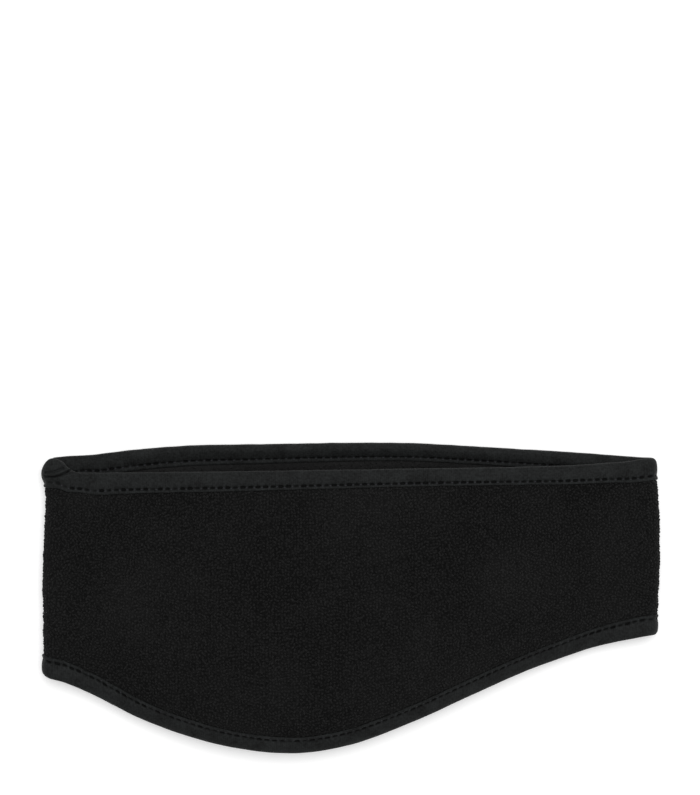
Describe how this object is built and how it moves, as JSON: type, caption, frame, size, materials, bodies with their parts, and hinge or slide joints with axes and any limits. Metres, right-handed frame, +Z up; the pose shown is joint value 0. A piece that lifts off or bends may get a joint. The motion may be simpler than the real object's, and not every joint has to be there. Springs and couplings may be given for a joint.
{
  "type": "ear warmer headband",
  "caption": "Loop of black pile fleece, deep over the ears and nape and shallow at the forehead, with both long edges bound in knit, lying flat.",
  "frame": {"origin": "under the middle of the headband, on the surface that it lies on", "axes": "+X from the nape fold to the forehead fold, +Y from the cut edge to the upper edge, along which the head goes in, +Z up through both layers"},
  "size_m": [0.24, 0.12, 0.0218],
  "materials": {
    "fleece": "matte brushed pile",
    "binding": "smooth fine knit",
    "thread": "spun sewing thread"
  },
  "bodies": {
    "root": {"band": "fleece", "top_binding": "binding", "bottom_binding": "binding"}
  },
  "joints": []
}
